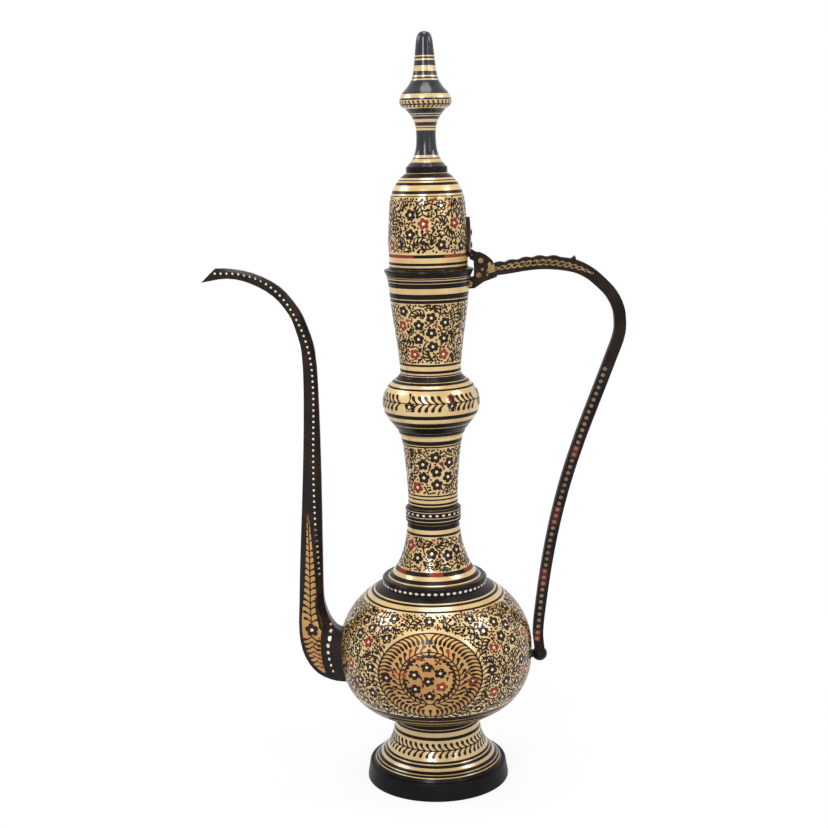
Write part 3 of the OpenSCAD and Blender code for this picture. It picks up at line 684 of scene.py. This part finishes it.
# medallion on the front and back of the globe, drawn flat on its tangent plane and laid onto the metal
medalSet = {
    "radius": 41.6, "squash": 0.83, "height": 111.8, "turns": (-94.8, 85.2),
    "rings": 40, "sectors": 120, "eye": 0.2,
    "rayStart": 0.05, "rayReach": 0.2, "depth": 0.06,      # metres
    # room that the floral field leaves round it: above a line so many metres under its middle, and below
    "upperFrom": 0.02, "roomAbove": 1.7, "roomBelow": 0.9,
    # inset and width of the rim; leaves that curl in from it, and out on its lower part:
    # inset, lean, length, width, bend and how far up they grow
    "rim": (0.5, 1.2), "rimLeaves": 60,
    "inLeaf": (0.6, 0.75, 9.6, 2.7, 0.9, 0.99), "outLeaf": (0.2, -0.55, 7.2, 2.2, -0.9, 0.5),
    "wreath": (23.6, 25.6), "wreathStem": 1.1, "pairs": 32, "redPairs": (4, 11, 15, 16),
    # lean, length, width, bend and how far up they grow
    "pairLeaf": (0.9, 7.8, 3, -0.4, 0.97),
    # upright leaves at the rim's foot and the wreath's top: shift, length, width
    "footLeaf": (0.6, 9, 3), "topLeaf": (-4.5, 7, 3.4),
    "flower": 4.9, "flowerTurn": 0.3,
    "flowers": [(-1.8, 11.9), (8.8, 6.1), (-11.8, 4.3), (-0.9, -1.9), (-11.1, -10), (0, -17), (-34.4, -2)],
    "redFlowers": [(34, -4.2), (9.7, -7.4)],
    "crossLeaf": (3, 2.2, 0.4), "crossTurn": 0.4,
    "crosses": [(0, 33), (-30, 6.6), (29.4, 5.2), (-29.6, -12), (29, -14), (-14.3, 15.6), (7, 16.6),
                (11, -17)],
    # single leaves between the flowers: place and heading
    "sprigLeaf": (3.8, 2.3, 0.6),
    "sprigs": [(-6.2, -1, 1.6), (4.2, -1, 1.9), (-8, 11.2, 2), (-5.6, -8.6, 1.2), (3.6, -9.2, 4.4),
               (13.6, -1.6, 1.2), (-16.4, -4.6, 1.8), (-5.6, -14.6, 4.2), (5.2, -13.4, 5.6),
               (3.9, 8.2, 1.7), (14.6, 4, 0.9), (-17.4, 6.6, 2.4), (-3, 18.2, 2.9)],
}
globeTrees = [nodeTree("body_lower"), nodeTree("body_upper")]


def medallionPut(turn):
    globe, squash = lines["globe"], medalSet["squash"]
    s = globe["along"](medalSet["height"])
    angle = radians(turn)
    centre = Vector(globe["place"](s, angle, 0))
    _, _, nr, nz = globe["at"](s)
    normal = Vector((*polar(nr, angle), nz))
    aside = Vector((-sin(angle), cos(angle), 0))
    upward = normal.cross(aside)*squash

    def put(u, v, height):
        start = centre + aside*u*mm + upward*v*mm + normal*medalSet["rayStart"]
        best = None
        for tree in globeTrees:
            hit, _, _, far = tree.ray_cast(start, -normal, medalSet["rayReach"])
            if hit and (best is None or far < best[1]):
                best = (hit, far)
        out = Vector((best[0].x, best[0].y, best[0].z - medalSet["height"]*mm)).normalized()
        return tuple(best[0] + out*height*mm)

    def inside(spot, margin):
        away = Vector(spot) - centre
        flat = hypot(away.dot(aside), away.dot(upward)/squash**2)
        return away.dot(normal) > -medalSet["depth"] and flat < (medalSet["radius"] + margin)*mm

    return put, inside


medallions = [medallionPut(turn) for turn in medalSet["turns"]]


def clearOfMedallions(spot, radius):
    isUpper = spot[2] > medalSet["height"]*mm - medalSet["upperFrom"]
    rim = medalSet["roomAbove" if isUpper else "roomBelow"]
    return not any(inside(spot, rim + radius) for _, inside in medallions)


def layGround(ground, put):
    edge, rings, sectors = medalSet["radius"], medalSet["rings"], medalSet["sectors"]
    circles = [(max(edge*i/rings, medalSet["eye"]), proud) for i in range(rings + 1)] + [(edge, sunk)]
    for r, height in circles:
        ground["points"] += [put(*polar(r, fullTurn*k/sectors), height) for k in range(sectors)]
    for a in range(0, (rings + 1)*sectors, sectors):
        for k in range(sectors):
            n = (k + 1) % sectors
            ground["faces"].append((a + k, a + n, a + sectors + n, a + sectors + k))
    ground["faces"].append(tuple(range(sectors)))


def drawMedallion(number, put):
    name = f"medallion{number}"
    layGround(inlay(name + "_ground", "medallion"), put)
    black, red, pale = (inlay(f"{name}_{finish}", finish) for finish in ("black", "red", "pale"))
    edge, lifted = medalSet["radius"], raised(put)

    def oval(wide, tall, width):
        count = medalSet["sectors"]
        line = [(wide*cos(fullTurn*k/count), tall*sin(fullTurn*k/count)) for k in range(count + 1)]
        addStroke(black, lifted, line, [width]*len(line))

    # the rim and the wreath grow in two branches from foot to top, and their commas curl off to round heads
    inset, width = medalSet["rim"]
    oval(edge - inset, edge - inset, width)
    count = medalSet["rimLeaves"]
    for k in range(count):
        a = fullTurn*(k + 0.5)/count
        side = 1 if cos(a) > 0 else -1
        for key, lay in (("inLeaf", lifted), ("outLeaf", put)):
            inset, lean, length, width, bend, below = medalSet[key]
            if sin(a) < below:
                heading = a + side*pi/2 + lean*side
                addLeaf(black, lay, *polar(edge - inset, a), heading, length, width, bend*side)
    wide, tall = medalSet["wreath"]
    oval(wide, tall, medalSet["wreathStem"])
    for key, start in (("footLeaf", -edge), ("topLeaf", tall)):
        shift, length, width = medalSet[key]
        addLeaf(black, lifted, 0, start + shift, pi/2, length, width, 0)
    lean, length, width, bend, below = medalSet["pairLeaf"]
    for k in range(medalSet["pairs"]):
        a = fullTurn*(k + 0.5)/medalSet["pairs"]
        side = 1 if cos(a) > 0 else -1
        ahead = atan2(side*tall*cos(a), -side*wide*sin(a))
        part = red if k in medalSet["redPairs"] else black
        for turn in (1, -1) if sin(a) < below else ():
            addLeaf(part, lifted, wide*cos(a), tall*sin(a), ahead + lean*turn, length, width, bend*turn)
    for part, key in ((black, "flowers"), (red, "redFlowers")):
        for k, (u, v) in enumerate(medalSet[key]):
            addFlower(part, lifted, u, v, medalSet["flower"], medalSet["flowerTurn"] + k, pale)
    for k, (u, v) in enumerate(medalSet["crosses"]):
        addCross(black, lifted, u, v, medalSet["crossTurn"]*k, medalSet["crossLeaf"])
    for u, v, heading in medalSet["sprigs"]:
        addLeaf(black, lifted, u, v, heading, *medalSet["sprigLeaf"])


for number, (put, _) in enumerate(medallions):
    drawMedallion(number, put)
print("medallions drawn")

# floral panels; front is where flowers are set one by one, as degrees from the viewer's side and height
floralSet = {
    "seed": 5, "cell": 4, "samples": 20, "redShare": 0.2, "redSprays": 0, "front": (), "frontRed": (),
    "flower": 4.9, "apart": 4.6, "flowerRate": 0.05, "ringed": 0.12, "heartRoom": 0.4, "petalGap": 0.2,
    "leaf": 5.8, "leafWidth": 2.7, "leafBend": 0.7, "lean": 0.9, "leafDiscs": ((0.5, 0.65), (0.83, 1.0)),
    "stem": 1.2, "stemDisc": 0.8, "stemKeep": 0.7, "steps": 14, "stride": 1.15, "leafEvery": 3,
    "fewestLeaves": 5, "sprayRate": 0.16, "sprayScales": (1, 0.8), "sprayRoom": 0.7,
    "sprayTurns": (0.04, 0.2), "edges": 24, "edgeInset": 3.4, "edgeTilt": 0.1,
    "waves": ((1.6, 3, 13), (2.3, 2, 8)), "crossRate": 0.1, "crossRoom": 1.9, "crossLeaf": (2.8, 2, 0.5),
    "fillRate": 0.6, "fillBend": 0.9, "fillLengths": (0.55, 0.75), "tailRoom": 0.35, "tailKeep": 0.3,
    "dot": 0.9, "dotRoom": 0.95, "dotKeep": 0.6,
}
panelSet = {
    "globe": (157.8, 77.2, {
        "front": [
            (-32, 153.5), (-56, 148), (-47, 144.6), (-56, 138.4), (-33, 140.2), (-54, 127.2), (-5, 153.2),
            (25, 153.2), (32, 144), (43, 148), (52, 143.4), (44, 137.6), (53, 132), (45, 126.6), (59, 113.8),
            (33, 114.4), (44, 101), (43, 87.2), (26, 81.6), (-42, 116.1), (-51, 102.4), (-34, 81),
            (36, 106)],
        "frontRed": [(-46, 134.4), (36, 130.8), (68, 131.5), (35, 95)]}),
    "lowerNeck": (211, 184.2, {
        "seed": 11, "edges": 6, "redShare": 0.35,
        "front": [(-5, 198), (26, 196), (48, 199), (-32, 194)], "frontRed": [(-54, 203)]}),
    "middleNeck": (284.6, 245.4, {
        "seed": 12, "edges": 6, "redShare": 0.3,
        "front": [(-21, 271), (-20, 260), (6, 277), (8, 265), (9, 254), (37, 272), (35, 260)],
        "frontRed": [(-37, 251.5)]}),
    "cup": (401, 352.6, {
        "seed": 13, "apart": 6, "edges": 8, "flower": 4.5, "redShare": 0.4,
        "front": [(-18, 384), (-20, 373), (2, 390), (2, 378), (4, 367), (24, 386), (23, 373.5), (-43, 395)],
        "frontRed": [(23, 360.6), (-48, 383), (-29, 360.5)]}),
    "lid": (483.4, 440.2, {
        "seed": 14, "apart": 6, "edges": 8, "flower": 4.6, "ringed": 0.5, "redShare": 0.3,
        "front": [(-27, 470), (-27, 455), (20, 477), (18, 447)], "frontRed": [(-7, 463), (41, 463)]}),
}
for place, (top, bottom, changes) in panelSet.items():
    rule = {**floralSet, **changes}
    outside = clearOfMedallions if place == "globe" else None
    fillPanel(place + "_flowers", lines[place], top, bottom, rule, bodyOf(place), outside)
print("floral panels filled")

# leaf chains round the knop, the foot and the finial's bulb: middle height, leaf reach, leaf width, count
chainSet = {"knop": (323.2, 8, 3, 46), "foot": (34.5, 7.4, 2.9, 46), "finial": (554.1, 3.6, 1.8, 32)}
chainShape = {"stem": 0.45, "lean": 0.62, "bend": 0.6}
# flowers in gaps of the knop's chain, in degrees and mm; over them a leaf or a red flower by turns
knopSet = {
    "first": -27, "step": 51.4, "count": 7, "gap": 6.5, "size": 4.3, "height": 320.6, "turn": 0.3,
    "redRise": 7, "redShare": 0.8, "leafRise": 4.6, "leaf": (1.5, 6.4, 2.2, 0.3),
}


def drawChain(place, middle, reach, width, count):
    line, half = lines[place], knopSet["step"]/2
    black = inlay(place + "_chain_black", "black", bodyOf(place))
    s = line["along"](middle)
    addRing(black, line, middle + chainShape["stem"], middle - chainShape["stem"], over)
    for k in range(count):
        offset = degrees(fullTurn*k/count)
        away = (offset - knopSet["first"] + half) % knopSet["step"] - half
        if place == "knop" and abs(away) < knopSet["gap"]:
            continue
        put = line["local"](front + radians(offset), s)
        for side in (-1, 1):
            lean = pi + side*chainShape["lean"]
            addLeaf(black, put, 0, 0, lean, reach, width, side*chainShape["bend"], over)


def drawKnopFlowers(line):
    black, pale, red = (inlay("knop_chain_" + finish, finish) for finish in ("black", "pale", "red"))
    low, size, turn = line["along"](knopSet["height"]), knopSet["size"], knopSet["turn"]
    for k in range(knopSet["count"]):
        angle = front + radians(knopSet["first"] + knopSet["step"]*k)
        addFlower(black, line["local"](angle, low), 0, 0, size, turn, pale)
        if k % 2:
            above = line["local"](angle, low + knopSet["redRise"])
            addFlower(red, above, 0, 0, knopSet["redShare"]*size, turn)
        else:
            above = line["local"](angle, low + knopSet["leafRise"])
            addLeaf(black, above, 0, 0, *knopSet["leaf"])


for place, chain in chainSet.items():
    drawChain(place, *chain)
drawKnopFlowers(lines["knop"])
print("leaf chains drawn")

# rows of pale dots on the shoulder ring and the collar: height, count, half width, half height
dotRows = {"shoulder": (169.4, 52, 1.6, 1.05), "collar": (228.9, 26, 1.25, 0.9)}
for place, (z, count, wide, high) in dotRows.items():
    s = lines[place]["along"](z)
    for k in range(count):
        put = lines[place]["local"](fullTurn*k/count, s)
        addSpot(inlay(place + "_dots", "pale"), put, 0, 0, wide, high)
print("dots set")


# ornament laid onto a node from outside along level rays, in metres; across and way are seen from above
def layOn(name, across, way, far, near, reach=0.1):
    tree = nodeTree(name)

    def spot(u, v, out):
        return Vector((across[0]*u*mm + way[0]*out, across[1]*u*mm + way[1]*out, v*mm))

    def put(u, v, height):
        hit = tree.ray_cast(spot(u, v, far), Vector((-way[0], -way[1], 0)), reach)[0]
        if not hit:
            hit = tree.find_nearest(spot(u, v, near))[0]
        return (hit.x + way[0]*height*mm, hit.y + way[1]*height*mm, hit.z)

    return put


# a thin plate between a left and a right edge, in rows from top to bottom
def addPlate(part, put, rows, columns=6):
    start, wide = len(part["points"]), columns + 1
    spots = [(left + (right - left)*k/columns, z) for z, left, right in rows for k in range(wide)]
    part["points"] += [put(*spot, proud) for spot in spots]
    count = len(rows)
    for i in range(count - 1):
        for k in range(columns):
            a = start + i*wide + k
            part["faces"].append((a, a + 1, a + wide + 1, a + wide))
    rim = [i*wide for i in range(count)] + [(count - 1)*wide + k for k in range(1, wide)]
    rim += [i*wide + columns for i in range(count - 2, -1, -1)] + list(range(columns - 1, 0, -1))
    under = len(part["points"])
    part["points"] += [put(*spots[k], sunk) for k in rim]
    for i, k in enumerate(rim):
        n = (i + 1) % len(rim)
        part["faces"].append((start + k, start + rim[n], under + n, under + i))


spoutSet = {
    "dotPath": [(-170, 426), (-151, 425.2), (-133.7, 419.6), (-118.4, 407), (-107.9, 390.7), (-100.3, 372.6),
                (-96, 352.5), (-94.9, 331.5), (-95.3, 310), (-96.4, 283), (-97, 253), (-96.6, 219),
                (-95.4, 197), (-94.6, 174)],
    "dotStep": 4.7, "dot": 0.95,
    # height, left and right edge of the gold drop
    "drop": [(231.5, -103.2, -102.4), (208, -104.4, -100.4), (184, -106, -98.8), (160, -108, -97.5),
             (148, -109.6, -96.4), (136, -110.6, -93.8), (124, -110, -95.2), (112, -107.4, -95.2),
             (101, -102.4, -94.3), (95.5, -97.4, -93), (93, -94, -92)],
    "dropFlower": (-102.2, 131, 5.7), "flowerTurn": 0.5, "stem": 1.0, "leafStep": 5.4,
    # leaves over the flower grow with the drop's half width, and by turns where it is narrow
    "upper": {"gap": 0.4, "end": 222, "narrow": 2.4, "narrowStep": 0.6, "lean": 0.85, "bend": 0.5},
    "upperLength": (1.25, 0.4, 7.5), "upperWidth": (1.1, 0.2),
    # leaves under it, with red ones near the end
    "lower": {"end": 97, "redBelow": 116, "step": 0.8, "lean": 0.9, "length": 0.55, "width": 2.5,
              "bend": 0.5},
    "beads": [(-86.6, 135, 0.8, 0.9), (-86.6, 130, 1.2, 1.4), (-87.5, 124.6, 1.4, 1.9),
              (-89, 118.8, 1.4, 1.9), (-89.2, 112.3, 1.2, 1.6), (-88.5, 106.3, 1, 1.4),
              (-87.4, 100.4, 0.9, 1.3), (-85.9, 94.6, 0.8, 1.1)],
}


def dressSpout(put):
    pale, gold = inlay("spout_dots", "pale"), inlay("spout_drop", "medallion")
    black, red = inlay("spout_drop_black", "black"), inlay("spout_drop_red", "red")
    for u, v, _ in evenSteps(smoothLine(spoutSet["dotPath"], 8), spoutSet["dotStep"]):
        addSpot(pale, put, u, v, spoutSet["dot"], sides=8)
    for bead in spoutSet["beads"]:
        addSpot(pale, put, *bead)
    rows = smoothLine(spoutSet["drop"], 5)
    addPlate(gold, put, rows)

    def dropAt(z):
        _, left, right = min(rows, key=lambda row: abs(row[0] - z))
        return (left + right)/2, right - left

    lifted = raised(put)
    u0, v0, size = spoutSet["dropFlower"]
    addFlower(black, lifted, u0, v0, size, spoutSet["flowerTurn"], pale)
    stem = [((left + right)/2, z) for z, left, right in rows if z > v0 + size]
    addStroke(black, lifted, stem[::-1], [spoutSet["stem"]]*len(stem))
    upper, lower, step = spoutSet["upper"], spoutSet["lower"], spoutSet["leafStep"]
    share, least, most = spoutSet["upperLength"]
    thin, growth = spoutSet["upperWidth"]
    z, number = v0 + size + upper["gap"], 0
    while z < upper["end"]:
        middle, across = dropAt(z)
        isNarrow = across/2 <= upper["narrow"]
        length = min(most, share*across/2 + least)
        for side in (1, -1):
            if not isNarrow or number % 2 == (side > 0):
                lean = pi/2 - side*upper["lean"]
                addLeaf(black, lifted, middle, z, lean, length, thin + growth*length, -upper["bend"]*side)
        z += upper["narrowStep"]*step if isNarrow else step
        number += 1
    z = v0 - size
    while z > lower["end"]:
        middle, across = dropAt(z)
        length = lower["length"]*across
        for side in (1, -1):
            part = red if side > 0 and z < lower["redBelow"] else black
            lean = -pi/2 + side*lower["lean"]
            addLeaf(part, lifted, middle, z, lean, length, lower["width"], lower["bend"]*side)
        z -= lower["step"]*step


handleSet = {
    # gold links with dark cores along the arm: half length and half width as shares of its width, and turn
    "scroll": [(53.4, 425.2), (64.3, 427.1), (74.2, 428.4), (86, 429.4), (94.9, 429.5), (105.8, 428),
               (114.6, 426), (123.5, 422.9), (131, 419.4)],
    "scrollWidths": (3, 4.4, 5, 5.2, 5.2, 4.8, 4.2, 3.2, 1.8), "scrollStep": 5.2,
    "strip": 0.55, "link": (0.66, 0.4, 0.55), "core": (0.34, 0.19, 0.75),
    "beadPath": [(140, 343), (135, 328), (127, 308), (122.9, 296.3), (113.9, 269.5), (103.8, 236),
                 (96.8, 208), (91.2, 177.7), (87.4, 148.6), (84.4, 120), (84, 116.5)],
    "beadStep": 5.3, "bead": (1.61, 1.75),
    # red bars under the beads near these heights: half length and width
    "redHeights": (277, 223, 170, 121), "redReach": 6, "bar": (2.6, 5.4),
    "rosettes": [(39.6, 420.6, 2.0), (31.8, 413.6, 2.9)], "studs": [(42.6, 425, 1.1), (46.5, 420.4, 0.8)],
    "wing": (45.6, 422.4), "wingLeans": (0.15, 0.55, 1.0), "wingLeaf": (8.4, 2.8, 0.5),
}


def dressHandle(put):
    gold, dull = inlay("handle_gold", "oldGold"), inlay("handle_beads", "dullGold")
    black, red = inlay("handle_scroll_black", "black"), inlay("handle_bars", "deepRed")
    lifted = raised(put)
    path = smoothLine(handleSet["scroll"], 4)
    widths = [w for w, in smoothLine([(w,) for w in handleSet["scrollWidths"]], 4)]
    addStroke(gold, put, path, [handleSet["strip"]*w for w in widths])
    for u, v, heading in evenSteps(path, handleSet["scrollStep"]):
        width = min(zip(path, widths), key=lambda pair: abs(pair[0][0] - u))[1]
        for part, lay, key in ((gold, put, "link"), (black, lifted, "core")):
            far, high, turn = handleSet[key]
            addSpot(part, lay, u, v, far*width, high*width, heading + turn, 12)
    half, barWidth = handleSet["bar"]
    for u, v, heading in evenSteps(smoothLine(handleSet["beadPath"], 6), handleSet["beadStep"]):
        addSpot(dull, lifted, u, v, *handleSet["bead"], heading, 8)
        x, y = polar(half, heading)
        for height in handleSet["redHeights"]:
            if abs(v - height) < handleSet["redReach"]:
                addStroke(red, put, [(u - x, v - y), (u + x, v + y)], [barWidth]*2)
    for u, v, size in handleSet["rosettes"]:
        addFlower(gold, put, u, v, size, 0.3, petals=6)
    for stud in handleSet["studs"]:
        addSpot(gold, put, *stud)
    for lean in handleSet["wingLeans"]:
        addLeaf(gold, put, *handleSet["wing"], lean, *handleSet["wingLeaf"])


# the same on both flat sides
sideRays = {"far": 0.06, "near": 0.012}
for side in (-1, 1):
    dressSpout(layOn("spout", (1, 0), (0, side), **sideRays))
    dressHandle(layOn("handle", (1, 0), (0, side), **sideRays))
print("spout and handle dressed")

# leaf strap on the lid: an outline, laid on from the handle's side; half width and height
strapSet = {
    "edge": [(0.6, 436.2), (5, 436.6), (9, 440.2), (10, 445), (7.2, 452), (3, 460), (0.3, 464.6)],
    "line": 0.8, "rays": {"far": 0.08, "near": 0.04},
}
strapPut = layOn("lid_strap", (0, 1), (1, 0), **strapSet["rays"])
for side in (1, -1):
    edge = smoothLine([(side*u, v) for u, v in strapSet["edge"]], 4)
    addStroke(inlay("strap_lines", "oldGold", "lid"), strapPut, edge, [strapSet["line"]]*len(edge))
print("strap dressed")


# pieces of inlay become objects
def buildInlays():
    for name, part in inlays.items():
        if not part["faces"]:
            continue
        mesh = bpy.data.meshes.new(name)
        mesh.from_pydata(part["points"], [], part["faces"])
        shaped = bmesh.new()
        shaped.from_mesh(mesh)
        bmesh.ops.recalc_face_normals(shaped, faces=shaped.faces)
        shaped.to_mesh(mesh)
        shaped.free()
        mesh.polygons.foreach_set("use_smooth", [True]*len(mesh.polygons))
        mesh.set_sharp_from_angle(angle=radians(inlaySet["sharp"]))
        mesh.materials.append(finishes[part["finish"]])
        piece = addObject(name, mesh)
        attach(piece, part["body"])


buildInlays()
print("inlay pieces:", len(inlays))

# studio: white surroundings, five soft lamps and a pale floor that keeps a faint shadow
studioSet = {
    "ambient": 0.2, "floorRadius": 6.0, "floorSides": 64,
    "floor": {"Base Color": (0.95, 0.95, 0.95, 1), "Roughness": 0.9, "Specular IOR Level": 0.0},
    # plain white takes over from the floor's shading between two distances, from one share to the other
    "fade": (0.04, 0.4, 0.9, 1),
}
# place, target, size and power
lampSet = {
    "keyLamp": ((-0.6, -1.9, 1.45), (0, 0, 0.3), (0.5, 1.2), 25.5),
    "rightBox": ((0.85, -0.2, 1.0), (0, 0, 0.14), (0.36, 0.3), 2.9),
    "leftBox": ((-0.95, 0.1, 1.05), (0, 0, 0.14), (0.55, 0.4), 3.4),
    "topLamp": ((0.05, 0, 2.6), (0, 0, 0.1), (1.6, 1.1), 30),
    "stripLamp": ((1.05, -1.2, 0.95), (0, 0, 0.5), (0.12, 0.7), 2.8),
}


def buildWorld():
    world = bpy.data.worlds.new("studioWorld")
    bpy.context.scene.world = world
    world.use_nodes = True
    tree = world.node_tree
    back = tree.nodes["Background"]
    path = tree.nodes.new("ShaderNodeLightPath")
    seen = path.outputs["Is Camera Ray"]
    for title in ("Is Glossy Ray", "Is Transmission Ray"):
        seen = mathNode(tree, "MAXIMUM", seen, path.outputs[title])
    back.inputs["Color"].default_value = (1, 1, 1, 1)
    tree.links.new(rangeNode(tree, seen, 0, 1, studioSet["ambient"], 1), back.inputs["Strength"])


def addLamp(name, spot, target, size, power):
    data = bpy.data.lights.new(name, "AREA")
    data.shape = "RECTANGLE"
    data.size, data.size_y = size
    data.energy = power
    lamp = addObject(name, data)
    lamp.location = spot
    lamp.rotation_euler = (Vector(target) - Vector(spot)).to_track_quat("-Z", "Y").to_euler()


def buildFloor():
    mesh = bpy.data.meshes.new("studioFloor")
    sides = studioSet["floorSides"]
    ring = [(*polar(studioSet["floorRadius"], fullTurn*k/sides), 0) for k in range(sides)]
    mesh.from_pydata(ring, [], [tuple(range(sides))])
    floor = addObject("studioFloor", mesh)
    material = bpy.data.materials.new("studioFloor")
    material.use_nodes = True
    tree = material.node_tree
    shader = tree.nodes["Principled BSDF"]
    setInputs(shader, studioSet["floor"])
    glow = tree.nodes.new("ShaderNodeEmission")
    blend = tree.nodes.new("ShaderNodeMixShader")
    coords = tree.nodes.new("ShaderNodeTexCoord")
    length = tree.nodes.new("ShaderNodeVectorMath")
    length.operation = "LENGTH"
    tree.links.new(coords.outputs["Object"], length.inputs[0])
    tree.links.new(rangeNode(tree, length.outputs["Value"], *studioSet["fade"]), blend.inputs["Fac"])
    tree.links.new(shader.outputs["BSDF"], blend.inputs[1])
    tree.links.new(glow.outputs["Emission"], blend.inputs[2])
    tree.links.new(blend.outputs["Shader"], tree.nodes["Material Output"].inputs["Surface"])
    mesh.materials.append(material)


buildWorld()
buildFloor()
for name, lamp in lampSet.items():
    addLamp(name, *lamp)
bpy.context.scene.view_settings.view_transform = "Standard"
print("studio lit")
